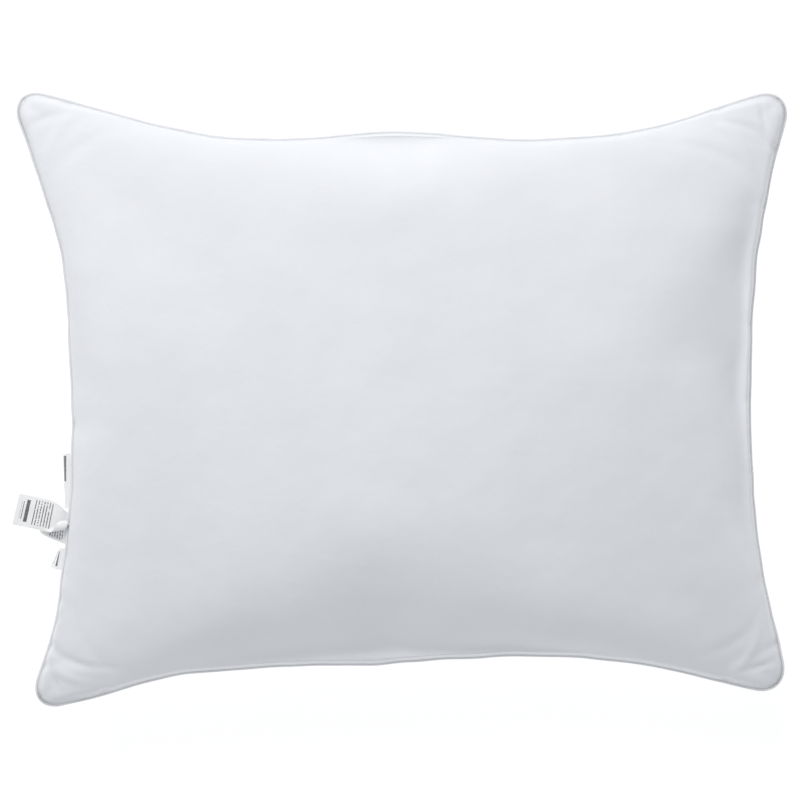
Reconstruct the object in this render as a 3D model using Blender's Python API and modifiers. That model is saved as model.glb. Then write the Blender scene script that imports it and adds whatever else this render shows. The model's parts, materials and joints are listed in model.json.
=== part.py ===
"""Corded bed pillow: two percale panels, a piped edge, a fibre filling and three seam labels.

The pillow lies flat. +Z is up, X runs along its long side, +Y is its top edge, and the
origin is on the surface it rests on, under the middle of its outline. Metres.
"""
import math

import bmesh
import bpy
from mathutils import Vector

MM = 0.001

# Corners where the four seams would meet if the corners were sharp
TOP_LEFT = (-0.3206, 0.2551)
TOP_RIGHT = (0.3194, 0.2551)
BOTTOM_RIGHT = (0.3174, -0.2410)
BOTTOM_LEFT = (-0.3056, -0.2547)
# How far the middle of each seam is pulled in from the line between its corners
LEFT_BOW, RIGHT_BOW, TOP_BOW, BOTTOM_BOW = 0.0428, 0.0325, 0.0452, 0.0350
BOW_SPREAD, BOW_EASE = 2.6, 1.35
# Where a seam is drawn in further, or less: depth, place along it from -1 to 1, spread
LEFT_DRAWS = ((0.0025, 0.50, 0.30), (0.0050, -0.80, 0.20))
RIGHT_DRAWS = ()
TOP_DRAWS = ((0.0029, -0.52, 0.22), (-0.0095, 0.0, 0.20), (0.0058, 0.64, 0.28))
BOTTOM_DRAWS = ((0.0042, -0.62, 0.15), (-0.0025, -0.08, 0.15), (0.0054, 0.52, 0.32))
CORNER_U, CORNER_V = 0.080, 0.100              # rounding, as a share of the half sides
HALF_LENGTH, HALF_WIDTH = 0.317, 0.253

# The crown of each panel over the seam
SEAM_HEIGHT = 0.072
CROWN = 0.084
CROWN_SPREAD, CROWN_EDGE = 2.2, 0.28
CORNER_FLATTENING, CORNER_EASE = 0.6, 1.5

CLOTH = 0.30 * MM
NOSE_INSET, NOSE_RISE = 0.35 * MM, 1.15 * MM   # where a panel turns in at the seam
ALLOWANCE, ALLOWANCE_RISE = 6.5 * MM, 0.90 * MM
ALLOWANCE_START = 1.2 * MM
PANEL_CELLS = (24, 20)

FILL_GAP = 4.0 * MM
FILL_INSET = 14.0 * MM
FILL_CUTS = 12

CORD_RADIUS = 0.70 * MM
CORD_OFFSET = 1.30 * MM                        # cord's centre outside the seam line
TAPE_MIDDLE_RADIUS = 1.15 * MM
FLANGE, FLANGE_RISE = 6.0 * MM, 0.30 * MM
TAPE_ARC_STEPS = 8

THREAD_RADIUS = 0.12 * MM
SEAM_THREAD_INSET, SEAM_THREAD_RISE = 2.0 * MM, 1.50 * MM
CLOSING_OFFSET, CLOSING_RISE = 0.30 * MM, 2.40 * MM
CLOSING_FROM, CLOSING_TO = -0.165, 0.045       # span of the filling opening, along Y
CLOSING_POINTS = 22

LABEL_CLOTH = 0.25 * MM
LABEL_OFFSET = 3.4 * MM                        # fold line of the labels outside the seam line
# name: middle along Y, width along the seam, length, lean along Y, droop below level
LABELS = {
    "law_label": (-0.0690, 0.0440, 0.0500, 0.000, 80.0),
    "care_label": (-0.1075, 0.0270, 0.0380, 0.017, 8.0),
    "size_label": (-0.1330, 0.0180, 0.0160, 0.000, 50.0),
}
LABEL_CELLS = (6, 4)

WHITE_COTTON = (0.86, 0.87, 0.89)
GREY_PIPING = (0.70, 0.72, 0.75)
FIBRE_WHITE = (0.93, 0.93, 0.92)
THREAD_WHITE = (0.88, 0.88, 0.88)
LABEL_SATIN = (0.92, 0.92, 0.91)


def clear_scene():
    for item in list(bpy.data.objects):
        bpy.data.objects.remove(item, do_unlink=True)


def material(name, colour, roughness):
    made = bpy.data.materials.new(name)
    made.use_nodes = True
    shader = made.node_tree.nodes["Principled BSDF"]
    shader.inputs["Base Color"].default_value = (*colour, 1.0)
    shader.inputs["Roughness"].default_value = roughness
    shader.inputs["Metallic"].default_value = 0.0
    return made


def bow_share(s):
    """How much of a seam's bow is reached at s, from -1 at one corner to 1 at the other."""
    return max(0.0, 1.0 - abs(s) ** BOW_SPREAD) ** BOW_EASE


def seam_side(start, end, s, inward, bow, draws):
    """A point at s on the seam from start to end; inward is 1 with the pillow on its right, or -1."""
    start, end = Vector(start), Vector(end)
    along = end - start
    right = Vector((along.y, -along.x)).normalized()
    pull = sum(depth * math.exp(-(((s - at) / spread) ** 2)) for depth, at, spread in draws)
    pull = bow * bow_share(s) + pull * (1.0 - s ** 8)
    return start.lerp(end, (s + 1.0) / 2.0) + right * inward * pull


def round_corner(u, v):
    """Bend the corners of the square -1..1 into quarter ellipses."""
    a = (abs(u) - 1.0 + CORNER_U) / CORNER_U
    b = (abs(v) - 1.0 + CORNER_V) / CORNER_V
    if a <= 0.0 or b <= 0.0:
        return u, v
    shrink = max(a, b) / math.hypot(a, b)
    round_u = 1.0 - CORNER_U + CORNER_U * a * shrink
    round_v = 1.0 - CORNER_V + CORNER_V * b * shrink
    return math.copysign(round_u, u), math.copysign(round_v, v)


def plan(u, v):
    """Place on the pillow's outline plan, spread between its four seams."""
    u, v = round_corner(u, v)
    left = seam_side(BOTTOM_LEFT, TOP_LEFT, v, 1, LEFT_BOW, LEFT_DRAWS)
    right = seam_side(BOTTOM_RIGHT, TOP_RIGHT, v, -1, RIGHT_BOW, RIGHT_DRAWS)
    bottom = seam_side(BOTTOM_LEFT, BOTTOM_RIGHT, u, -1, BOTTOM_BOW, BOTTOM_DRAWS)
    top = seam_side(TOP_LEFT, TOP_RIGHT, u, 1, TOP_BOW, TOP_DRAWS)
    s, t = (u + 1.0) / 2.0, (v + 1.0) / 2.0
    low = Vector(BOTTOM_LEFT).lerp(Vector(BOTTOM_RIGHT), s)
    high = Vector(TOP_LEFT).lerp(Vector(TOP_RIGHT), s)
    return left.lerp(right, s) + bottom.lerp(top, t) - low.lerp(high, t)


def inset(u, v, distance):
    """Plan of the point that lies the distance inside the one at u, v."""
    return plan(u * (1.0 - distance / HALF_LENGTH), v * (1.0 - distance / HALF_WIDTH))


def crowd(s):
    """Crowd evenly spaced steps from -1 to 1 towards both ends."""
    return s * (3.0 - s * s) / 2.0


def crown(u, v):
    """Height of a panel over its seam."""
    edge = max(0.0, 1.0 - abs(u) ** CROWN_SPREAD) * max(0.0, 1.0 - abs(v) ** CROWN_SPREAD)
    return CROWN * edge ** CROWN_EDGE * (1.0 - CORNER_FLATTENING * (u * v) ** 2) ** CORNER_EASE


def seam_ring():
    """Points round the seam with their outward normals, at the panels' edge points."""
    cells_u, cells_v = PANEL_CELLS
    us = [crowd(-1.0 + 2.0 * i / cells_u) for i in range(cells_u)]
    vs = [crowd(-1.0 + 2.0 * j / cells_v) for j in range(cells_v)]
    square = [(u, -1.0) for u in us] + [(1.0, v) for v in vs]
    square += [(-u, 1.0) for u in us] + [(-1.0, -v) for v in vs]
    points = [plan(u, v) for u, v in square]
    ring = []
    for i, point in enumerate(points):
        along = points[(i + 1) % len(points)] - points[i - 1]
        ring.append((point, Vector((along.y, -along.x)).normalized()))
    return ring


def seam_line(offset, rise):
    return [(*(point + normal * offset), SEAM_HEIGHT + rise) for point, normal in seam_ring()]


def left_seam(y):
    """The point at y on the left seam and the outward normal there."""
    v = 2.0 * (y - BOTTOM_LEFT[1]) / (TOP_LEFT[1] - BOTTOM_LEFT[1]) - 1.0
    step = 0.01
    along = plan(-1.0, v - step) - plan(-1.0, v + step)
    return plan(-1.0, v), Vector((along.y, -along.x)).normalized()


def add_object(name, data, collection, finish):
    data.materials.append(finish)
    made = bpy.data.objects.new(name, data)
    collection.objects.link(made)
    return made


def mesh_from(bm, name):
    mesh = bpy.data.meshes.new(name)
    bm.to_mesh(mesh)
    bm.free()
    mesh.shade_smooth()
    return mesh


def thicken(item, thickness):
    wall = item.modifiers.new("Cloth", "SOLIDIFY")
    wall.thickness = thickness
    wall.offset = 0.0
    wall.use_rim = True


def thread_or_cord(name, points, radius, resolution, closed, collection, finish):
    """A round strand through the points: a POLY curve with a bevel."""
    curve = bpy.data.curves.new(name, "CURVE")
    curve.dimensions = "3D"
    curve.bevel_depth = radius
    curve.bevel_resolution = resolution
    curve.use_fill_caps = True
    curve.twist_mode = "Z_UP"
    spline = curve.splines.new("POLY")
    spline.points.add(len(points) - 1)
    for knot, place in zip(spline.points, points):
        knot.co = (*place, 1.0)
    spline.use_cyclic_u = closed
    return add_object(name, curve, collection, finish)


def panel(name, side, collection, finish):
    """One cover panel: a crowned cloth whose edge turns in over the seam allowance."""
    cells_u, cells_v = PANEL_CELLS
    bm = bmesh.new()
    bmesh.ops.create_grid(bm, x_segments=cells_u, y_segments=cells_v, size=1.0)
    edge = [e for e in bm.edges if e.is_boundary]
    place = {}
    for vert in bm.verts:
        place[vert] = (crowd(vert.co.x), crowd(vert.co.y))
    loops = [(ALLOWANCE_START, ALLOWANCE_RISE), (ALLOWANCE, ALLOWANCE_RISE)]
    rings = []
    for _ in loops:
        grown = bmesh.ops.extrude_edge_only(bm, edges=edge)["geom"]
        edge = [e for e in grown if isinstance(e, bmesh.types.BMEdge)]
        rings.append([v for v in grown if isinstance(v, bmesh.types.BMVert)])
    for ring, (distance, rise) in zip(rings, loops):
        for vert in ring:
            flat = inset(crowd(vert.co.x), crowd(vert.co.y), distance)
            vert.co = (*flat, SEAM_HEIGHT + side * rise)
    for vert, (u, v) in place.items():
        flat = inset(u, v, NOSE_INSET)
        height = SEAM_HEIGHT + side * (NOSE_RISE + crown(u, v))
        vert.co = (*flat, max(height, CLOTH / 2.0))
    if side < 0:
        bmesh.ops.reverse_faces(bm, faces=bm.faces)
    made = add_object(name, mesh_from(bm, name), collection, finish)
    thicken(made, CLOTH)
    return made


def filling(collection, finish):
    """The fibre, as one soft block that fills the cover to just inside its cloth."""
    bm = bmesh.new()
    bmesh.ops.create_cube(bm, size=2.0)
    bmesh.ops.subdivide_edges(bm, edges=bm.edges[:], cuts=FILL_CUTS, use_grid_fill=True)
    for vert in bm.verts:
        u = crowd(vert.co.x) * (1.0 - FILL_INSET / HALF_LENGTH)
        v = crowd(vert.co.y) * (1.0 - FILL_INSET / HALF_WIDTH)
        reach = NOSE_RISE + crown(u, v) - FILL_GAP
        height = SEAM_HEIGHT + vert.co.z * reach
        vert.co = (*plan(u, v), max(height, CLOTH + FILL_GAP))
    return add_object("fibre_fill", mesh_from(bm, "fibre_fill"), collection, finish)


def piping_tape(collection, finish):
    """The tape folded round the cord, its two flanges running into the seam."""
    lip = math.asin(FLANGE_RISE / TAPE_MIDDLE_RADIUS)
    profile = [(-FLANGE, FLANGE_RISE)]
    for i in range(TAPE_ARC_STEPS + 1):
        turn = (math.pi - lip) * (1.0 - 2.0 * i / TAPE_ARC_STEPS)
        across = CORD_OFFSET + TAPE_MIDDLE_RADIUS * math.cos(turn)
        profile.append((across, TAPE_MIDDLE_RADIUS * math.sin(turn)))
    profile.append((-FLANGE, -FLANGE_RISE))
    ring = seam_ring()
    across_steps, round_steps = len(profile) - 1, len(ring)
    bm = bmesh.new()
    bmesh.ops.create_grid(bm, x_segments=across_steps, y_segments=round_steps, size=1.0)
    for vert in bm.verts:
        across, rise = profile[round((vert.co.x + 1.0) / 2.0 * across_steps)]
        point, normal = ring[round((vert.co.y + 1.0) / 2.0 * round_steps) % round_steps]
        vert.co = (*(point + normal * across), SEAM_HEIGHT + rise)
    bmesh.ops.remove_doubles(bm, verts=bm.verts, dist=0.01 * MM)
    made = add_object("piping_tape", mesh_from(bm, "piping_tape"), collection, finish)
    thicken(made, CLOTH)
    return made


def closing_thread(collection, finish):
    """The stitching that closes the opening the fibre was blown in through."""
    points = []
    for i in range(CLOSING_POINTS):
        y = CLOSING_FROM + (CLOSING_TO - CLOSING_FROM) * i / (CLOSING_POINTS - 1)
        point, normal = left_seam(y)
        points.append((*(point + normal * CLOSING_OFFSET), SEAM_HEIGHT + CLOSING_RISE))
    return thread_or_cord("closing_thread", points, THREAD_RADIUS, 0, False, collection, finish)


def label(name, collection, finish):
    """A label hanging from its fold line: local Y runs along the fold, local X down the label."""
    middle, width, length, lean, droop = LABELS[name]
    low, _ = left_seam(middle - width / 2.0)
    high, _ = left_seam(middle + width / 2.0)
    along = (low - high).normalized()
    outward = Vector((along.y, -along.x))
    cells_x, cells_y = LABEL_CELLS
    bm = bmesh.new()
    bmesh.ops.create_grid(bm, x_segments=cells_x, y_segments=cells_y, size=1.0)
    for vert in bm.verts:
        t = (vert.co.x + 1.0) / 2.0
        vert.co = (length * t, width * vert.co.y / 2.0 - lean * t, 0.0)
    made = add_object(name, mesh_from(bm, name), collection, finish)
    fold = low.lerp(high, 0.5) + outward * LABEL_OFFSET
    made.location = (*fold, SEAM_HEIGHT)
    made.rotation_euler = (0.0, math.radians(droop), math.atan2(outward.y, outward.x))
    thicken(made, LABEL_CLOTH)
    return made


def build():
    clear_scene()
    pillow = bpy.data.collections.new("bed_pillow")
    bpy.context.scene.collection.children.link(pillow)
    cotton = material("white_percale", WHITE_COTTON, 0.85)
    backing = material("white_percale_back", WHITE_COTTON, 0.85)
    fibre = material("polyester_fibre", FIBRE_WHITE, 0.95)
    tape = material("piping_cloth", GREY_PIPING, 0.80)
    cord = material("piping_cord_cotton", FIBRE_WHITE, 0.90)
    thread = material("sewing_thread", THREAD_WHITE, 0.60)
    satin = material("label_satin", LABEL_SATIN, 0.45)

    panel("front_panel", 1, pillow, cotton)
    panel("back_panel", -1, pillow, backing)
    filling(pillow, fibre)
    cord_route = seam_line(CORD_OFFSET, 0.0)
    thread_or_cord("piping_cord", cord_route, CORD_RADIUS, 1, True, pillow, cord)
    piping_tape(pillow, tape)
    needle_route = seam_line(-SEAM_THREAD_INSET, SEAM_THREAD_RISE)
    bobbin_route = seam_line(-SEAM_THREAD_INSET, -SEAM_THREAD_RISE)
    thread_or_cord("seam_needle_thread", needle_route, THREAD_RADIUS, 0, True, pillow, thread)
    thread_or_cord("seam_bobbin_thread", bobbin_route, THREAD_RADIUS, 0, True, pillow, thread)
    closing_thread(pillow, thread)
    for name in LABELS:
        label(name, pillow, satin)


build()
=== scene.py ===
"""Looks of a corded bed pillow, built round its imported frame.

Run as a script in Blender. Each piece of the pillow has an operator, and its sizes and
colours are properties of the scene, shown in the sidebar. Metres, +Z up.
"""
import json
import math

import bmesh
import bpy
import numpy as np
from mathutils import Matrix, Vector, noise


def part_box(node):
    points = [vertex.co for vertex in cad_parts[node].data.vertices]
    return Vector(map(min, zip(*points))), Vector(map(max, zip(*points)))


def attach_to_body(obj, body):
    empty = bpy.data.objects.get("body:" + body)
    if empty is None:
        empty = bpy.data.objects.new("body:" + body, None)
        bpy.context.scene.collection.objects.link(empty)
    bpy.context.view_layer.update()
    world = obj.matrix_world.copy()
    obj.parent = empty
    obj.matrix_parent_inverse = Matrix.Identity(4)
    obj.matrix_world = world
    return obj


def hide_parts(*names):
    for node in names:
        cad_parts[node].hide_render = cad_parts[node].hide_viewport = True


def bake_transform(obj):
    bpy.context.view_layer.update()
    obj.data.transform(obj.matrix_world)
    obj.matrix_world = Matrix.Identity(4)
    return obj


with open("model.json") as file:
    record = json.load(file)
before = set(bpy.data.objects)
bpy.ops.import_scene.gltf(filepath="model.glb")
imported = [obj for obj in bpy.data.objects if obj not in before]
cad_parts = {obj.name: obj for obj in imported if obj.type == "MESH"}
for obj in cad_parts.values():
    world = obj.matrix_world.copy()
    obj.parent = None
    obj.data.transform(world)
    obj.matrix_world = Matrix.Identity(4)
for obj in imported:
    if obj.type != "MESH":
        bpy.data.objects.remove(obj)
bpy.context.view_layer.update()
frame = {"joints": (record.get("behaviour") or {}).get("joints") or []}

bl_info = {
    "name": "Bed Pillow",
    "version": (1, 0, 0),
    "blender": (4, 5, 0),
    "location": "3D View > Sidebar > Pillow",
    "description": "Builds a corded bed pillow with its filling, piping, stitches and labels",
    "category": "Object",
}

MM = 0.001
BODY = "pillow"

# The seam's plan: where the four seams would meet if the corners were sharp
TOP_LEFT, TOP_RIGHT = (-0.3206, 0.2551), (0.3194, 0.2551)
BOTTOM_LEFT, BOTTOM_RIGHT = (-0.3056, -0.2547), (0.3174, -0.2410)
LEFT_BOW, RIGHT_BOW, TOP_BOW, BOTTOM_BOW = 0.0428, 0.0325, 0.0452, 0.0350
BOW_SPREAD, BOW_EASE = 2.6, 1.35
# Where a seam is drawn in further, or less: depth, place along it from -1 to 1, spread
LEFT_DRAWS = ((0.0025, 0.50, 0.30), (0.0050, -0.80, 0.20))
RIGHT_DRAWS = ()
TOP_DRAWS = ((0.0029, -0.52, 0.22), (-0.0095, 0.0, 0.20), (0.0058, 0.64, 0.28))
BOTTOM_DRAWS = ((0.0042, -0.62, 0.15), (-0.0025, -0.08, 0.15), (0.0054, 0.52, 0.32))
CORNER_U, CORNER_V = 0.080, 0.100
SEAM_RIPPLE = 0.0013

CORD_LOW, CORD_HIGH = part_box("piping_cord")
TAPE_LOW, TAPE_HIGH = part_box("piping_tape")
SEAM_HEIGHT = (CORD_LOW.z + CORD_HIGH.z) / 2
TAPE_RADIUS = (TAPE_HIGH.z - TAPE_LOW.z) / 2
CORD_RADIUS = (CORD_HIGH.z - CORD_LOW.z) / 2

CELLS_U, CELLS_V = 120, 96                    # cells of one panel for the cloth simulation
SEW_FRAMES, SETTLE_FRAMES = 12, 18
EASE_ROUNDS = 36
LEAN = 0.20                                   # least inward lean of the cover's walls
NOSE_RISE, NOSE_REACH = 1.33 * MM, 0.75 * MM  # where a panel turns in over the piping
ALLOWANCE = 6.0 * MM                          # cloth turned in past the seam line
CAMERA_OFFSET = (-1.2 * MM, -0.4 * MM)        # from the pillow's middle
SEAM_WAVE, SEAM_WAVES = 0.0016, 9.0           # rise and fall of the seam, and how close its waves are
CROWN_SPREAD, CROWN_EDGE = 2.2, 0.28          # the smooth crown of a panel
CORNER_FLATTENING, CORNER_EASE = 0.6, 1.5
ON_SEAM = 0.99995                             # a vertex whose u or v reaches this is on the seam
SEWN_SWELL, FLAT_SWELL = 0.030, 0.0075        # height of the cage's middle, sewn and laid flat
BED_DEPTH, BED_SKIN, CLOTH_GAP = 0.0024, 0.001, 0.002
LUMP_HEIGHT = 0.0009                          # soft lumps that show through the cover
RESTING = 0.0045                              # below this the cover lies on the bed, and stays smooth


# ---------------------------------------------------------------- properties

def length(name, text, default, top=1.0):
    return bpy.props.FloatProperty(
        name=name, description=text, default=default, min=0.0, max=top, unit="LENGTH", precision=5)


def colour(name, text, default):
    return bpy.props.FloatVectorProperty(
        name=name, description=text, default=default, size=3, min=0.0, max=1.0, subtype="COLOR")


class PillowCover(bpy.types.PropertyGroup):
    cut_length: length("Cut length", "Long side of a panel between its seam lines, laid flat", 0.648)
    cut_width: length("Cut width", "Short side of a panel between its seam lines, laid flat", 0.520)
    hollow: bpy.props.FloatVectorProperty(
        name="Hollow", description="How far the left, right, bottom and top of the cut curve in",
        default=(0.012, 0.005, 0.002, 0.011), size=4, min=0.0, max=0.1, unit="LENGTH", precision=4)
    thickness: length("Cloth", "Thickness of the cover cloth", 0.0003, 0.005)
    fullness: bpy.props.FloatProperty(
        name="Fullness", description="How hard the filling pushes the cover out",
        default=10.0, min=0.0, max=60.0)
    pucker: length("Pucker depth", "Depth of the puckers that the seam draws up", 0.0016, 0.01)
    crease: length("Crease depth", "Depth of the folds across the corners", 0.0015, 0.01)
    cloth: colour("Cloth colour", "Colour of the cotton percale", (0.835, 0.850, 0.885))


class PillowFilling(bpy.types.PropertyGroup):
    gap: length("Gap", "Space kept between the filling and the cover", 0.0036, 0.02)
    lump: length("Lumps", "Height of the soft lumps in the fibre", 0.0012, 0.02)
    fibre: colour("Fibre colour", "Colour of the polyester fibre", (0.90, 0.90, 0.89))


class PillowPiping(bpy.types.PropertyGroup):
    wall: length("Tape", "Thickness of the piping tape", 0.0003, 0.002)
    flange: length("Flange", "Width of the tape's flange inside the seam", 0.006, 0.02)
    tape: colour("Tape colour", "Colour of the tape folded round the cord", (0.84, 0.85, 0.875))
    cord: colour("Cord colour", "Colour of the cord inside the tape", (0.84, 0.84, 0.82))


class PillowStitches(bpy.types.PropertyGroup):
    pitch: length("Pitch", "Distance from stitch to stitch", 0.0028, 0.02)
    closing_pitch: length("Closing pitch", "Distance between the closing stitches", 0.0036, 0.02)
    radius: length("Thread", "Half the thickness of the thread", 0.00013, 0.002)
    thread: colour("Thread colour", "Colour of the sewing thread", (0.80, 0.81, 0.83))


class PillowLabels(bpy.types.PropertyGroup):
    thickness: length("Label cloth", "Thickness of the label cloth", 0.00022, 0.002)
    satin: colour("Label colour", "Colour of the label cloth", (0.93, 0.935, 0.94))
    ink: colour("Ink", "Colour of the printed rules and bars", (0.035, 0.038, 0.045))


class PillowStage(bpy.types.PropertyGroup):
    floor: length("Floor", "Side of the floor", 60.0, 200.0)
    lens: bpy.props.FloatProperty(
        name="Lens", description="Focal length of the camera", default=85.0, min=20.0, max=200.0)
    view_width: length("View", "Width of the view at the pillow's middle height", 0.6595, 3.0)
    key: bpy.props.FloatProperty(
        name="Key light", description="Power of the large light past the top edge",
        default=34.0, min=0.0, max=500.0, unit="POWER")
    sky: bpy.props.FloatProperty(
        name="Sky", description="Strength of the even light all round", default=0.58, min=0.0, max=5.0)


# ---------------------------------------------------------------- the seam's plan

def bow_share(s):
    """How much of a seam's bow is reached at s, from -1 at one corner to 1 at the other."""
    return max(0.0, 1.0 - abs(s) ** BOW_SPREAD) ** BOW_EASE


def seam_side(start, end, s, inward, bow, draws):
    """A point at s on the seam from start to end; inward is 1 with the pillow on its right, or -1."""
    start, end = Vector(start), Vector(end)
    along = end - start
    right = Vector((along.y, -along.x)).normalized()
    pull = sum(depth * math.exp(-(((s - at) / spread) ** 2)) for depth, at, spread in draws)
    pull += SEAM_RIPPLE * noise.noise(Vector((s * 11.0, bow * 300.0, 0.5)))
    pull = bow * bow_share(s) + pull * (1.0 - s ** 8)
    return start.lerp(end, (s + 1.0) / 2.0) + right * inward * pull


def round_corner(u, v):
    """Bend the corners of the square -1..1 into quarter ellipses."""
    a = (abs(u) - 1.0 + CORNER_U) / CORNER_U
    b = (abs(v) - 1.0 + CORNER_V) / CORNER_V
    if a <= 0.0 or b <= 0.0:
        return u, v
    shrink = max(a, b) / math.hypot(a, b)
    round_u = 1.0 - CORNER_U + CORNER_U * a * shrink
    round_v = 1.0 - CORNER_V + CORNER_V * b * shrink
    return math.copysign(round_u, u), math.copysign(round_v, v)


def plan(u, v):
    """Place on the pillow's outline plan, spread between its four seams."""
    u, v = round_corner(u, v)
    left = seam_side(BOTTOM_LEFT, TOP_LEFT, v, 1, LEFT_BOW, LEFT_DRAWS)
    right = seam_side(BOTTOM_RIGHT, TOP_RIGHT, v, -1, RIGHT_BOW, RIGHT_DRAWS)
    bottom = seam_side(BOTTOM_LEFT, BOTTOM_RIGHT, u, -1, BOTTOM_BOW, BOTTOM_DRAWS)
    top = seam_side(TOP_LEFT, TOP_RIGHT, u, 1, TOP_BOW, TOP_DRAWS)
    s, t = (u + 1.0) / 2.0, (v + 1.0) / 2.0
    low = Vector(BOTTOM_LEFT).lerp(Vector(BOTTOM_RIGHT), s)
    high = Vector(TOP_LEFT).lerp(Vector(TOP_RIGHT), s)
    return left.lerp(right, s) + bottom.lerp(top, t) - low.lerp(high, t)


def seam_wave(place):
    """How far the seam rises and falls round the pillow."""
    return SEAM_WAVE * noise.noise(Vector((place.x * SEAM_WAVES, place.y * SEAM_WAVES, 3.0)))


def seam_point(u, v):
    """Place on the seam's wavy surface for u, v from -1 to 1."""
    place = plan(u, v)
    return Vector((place.x, place.y, SEAM_HEIGHT + seam_wave(place)))


def square_ring(steps_u, steps_v):
    """Points round the square -1..1, from its lower left corner, anticlockwise."""
    us = [-1.0 + 2.0 * i / steps_u for i in range(steps_u)]
    vs = [-1.0 + 2.0 * j / steps_v for j in range(steps_v)]
    ring = [(u, -1.0) for u in us] + [(1.0, v) for v in vs]
    return ring + [(-u, 1.0) for u in us] + [(-1.0, -v) for v in vs]


def evenly(points, count, closed):
    """The line through the points, resampled to count even steps."""
    line = np.array(points + points[:1] if closed else points, float)
    run = np.concatenate([[0.0], np.cumsum(np.linalg.norm(np.diff(line, axis=0), axis=1))])
    marks = np.linspace(0.0, run[-1], count + 1)[:count] if closed else np.linspace(0.0, run[-1], count)
    return np.stack([np.interp(marks, run, line[:, k]) for k in range(3)], axis=1), run[-1]


def seam_ring(count):
    """Even points round the seam, their outward normals in plan, and the seam's length."""
    points, total = evenly([seam_point(u, v) for u, v in square_ring(480, 384)], count, True)
    along = np.roll(points, -1, axis=0) - np.roll(points, 1, axis=0)
    outward = np.stack([along[:, 1], -along[:, 0], np.zeros(count)], axis=1)
    outward /= np.linalg.norm(outward, axis=1)[:, None]
    return points, outward, total


# ---------------------------------------------------------------- mesh helpers

def new_object(name, mesh, finish=None):
    made = bpy.data.objects.new(name, mesh)
    bpy.context.scene.collection.objects.link(made)
    if finish is not None:
        mesh.materials.append(finish)
    return made


def mesh_of(bm, name, smooth=True):
    mesh = bpy.data.meshes.new(name)
    bm.to_mesh(mesh)
    bm.free()
    if smooth:
        mesh.shade_smooth()
    return mesh


def bake(item):
    """Replace an object by the plain mesh that its modifiers make."""
    graph = bpy.context.evaluated_depsgraph_get()
    mesh = bpy.data.meshes.new_from_object(item.evaluated_get(graph))
    name = item.name
    bpy.data.objects.remove(item, do_unlink=True)
    mesh.name = name
    return mesh


def coordinates(mesh):
    flat = np.zeros(len(mesh.vertices) * 3, np.float32)
    mesh.vertices.foreach_get("co", flat)
    return flat.reshape(-1, 3).astype(float)


def normals(mesh):
    flat = np.zeros(len(mesh.vertices) * 3, np.float32)
    mesh.vertex_normals.foreach_get("vector", flat)
    return flat.reshape(-1, 3).astype(float)


def place_vertices(mesh, places):
    mesh.vertices.foreach_set("co", places.astype(np.float32).ravel())
    mesh.update()


def point_uv(mesh):
    """The cut's u, v at each vertex, from -1 to 1."""
    corner = np.zeros(len(mesh.loops) * 2, np.float32)
    mesh.uv_layers["cut"].data.foreach_get("uv", corner)
    index = np.zeros(len(mesh.loops), np.int32)
    mesh.loops.foreach_get("vertex_index", index)
    found = np.zeros((len(mesh.vertices), 2))
    found[index] = corner.reshape(-1, 2)
    return found * 2.0 - 1.0


def add_thickness(item, thickness, offset=0.0):
    wall = item.modifiers.new("Cloth thickness", "SOLIDIFY")
    wall.thickness = thickness
    wall.offset = offset
    wall.use_rim = True


def sweep(points, outward, profile_at, closed):
    """Sweep a profile round a ring of points; profile_at(j) lists its (outward, up) offsets there."""
    count = len(points)
    profiles = [profile_at(j) for j in range(count)]
    across = len(profiles[0])
    steps = across if closed else across - 1
    bm = bmesh.new()
    bmesh.ops.create_grid(bm, x_segments=steps, y_segments=count, size=1.0)
    for vert in bm.verts:
        i = round((vert.co.x + 1.0) / 2.0 * steps) % across
        j = round((vert.co.y + 1.0) / 2.0 * count) % count
        side, rise = profiles[j][i]
        spot = points[j] + outward[j] * side
        vert.co = (spot[0], spot[1], spot[2] + rise)
    bmesh.ops.remove_doubles(bm, verts=bm.verts, dist=0.001 * MM)
    bmesh.ops.recalc_face_normals(bm, faces=bm.faces)
    return bm


def attach(piece, node):
    """Tie a piece to the pillow, in place of the node it stands for."""
    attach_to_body(piece, BODY)
    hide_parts(node)


# ---------------------------------------------------------------- node helpers

class Tree:
    """Short ways to add and link the nodes of a material."""

    def __init__(self, name):
        self.material = bpy.data.materials.new(name)
        self.material.use_nodes = True
        self.nodes = self.material.node_tree.nodes
        self.links = self.material.node_tree.links
        self.shader = self.nodes["Principled BSDF"]

    def add(self, kind, inputs=None, **settings):
        node = self.nodes.new(kind)
        for name, value in settings.items():
            setattr(node, name, value)
        for name, value in (inputs or {}).items():
            self.feed(node.inputs[name], value)
        return node

    def feed(self, socket, value):
        if isinstance(value, bpy.types.NodeSocket):
            self.links.new(value, socket)
        else:
            socket.default_value = value

    def math(self, operation, a, b=0.0, clamp=False):
        return self.add("ShaderNodeMath", {0: a, 1: b}, operation=operation, use_clamp=clamp).outputs[0]

    def ramp(self, value, low, high, start, end):
        """value from low..high mapped to start..end, held at both ends."""
        node = self.add("ShaderNodeMapRange", {
            "Value": value, "From Min": low, "From Max": high, "To Min": start, "To Max": end})
        return node.outputs["Result"]

    def mix(self, share, a, b):
        node = self.add("ShaderNodeMix", data_type="RGBA")
        self.feed(node.inputs[0], share)
        self.feed(node.inputs[6], a)
        self.feed(node.inputs[7], b)
        return node.outputs[2]

    def noise(self, place, scale, detail=2.0, roughness=0.5):
        node = self.add("ShaderNodeTexNoise", {
            "Vector": place, "Scale": scale, "Detail": detail, "Roughness": roughness})
        return node.outputs["Fac"]

    def bump(self, height, distance, strength=1.0, normal=None):
        node = self.add("ShaderNodeBump", {"Height": height, "Distance": distance, "Strength": strength})
        if normal is not None:
            self.feed(node.inputs["Normal"], normal)
        return node.outputs["Normal"]


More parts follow.
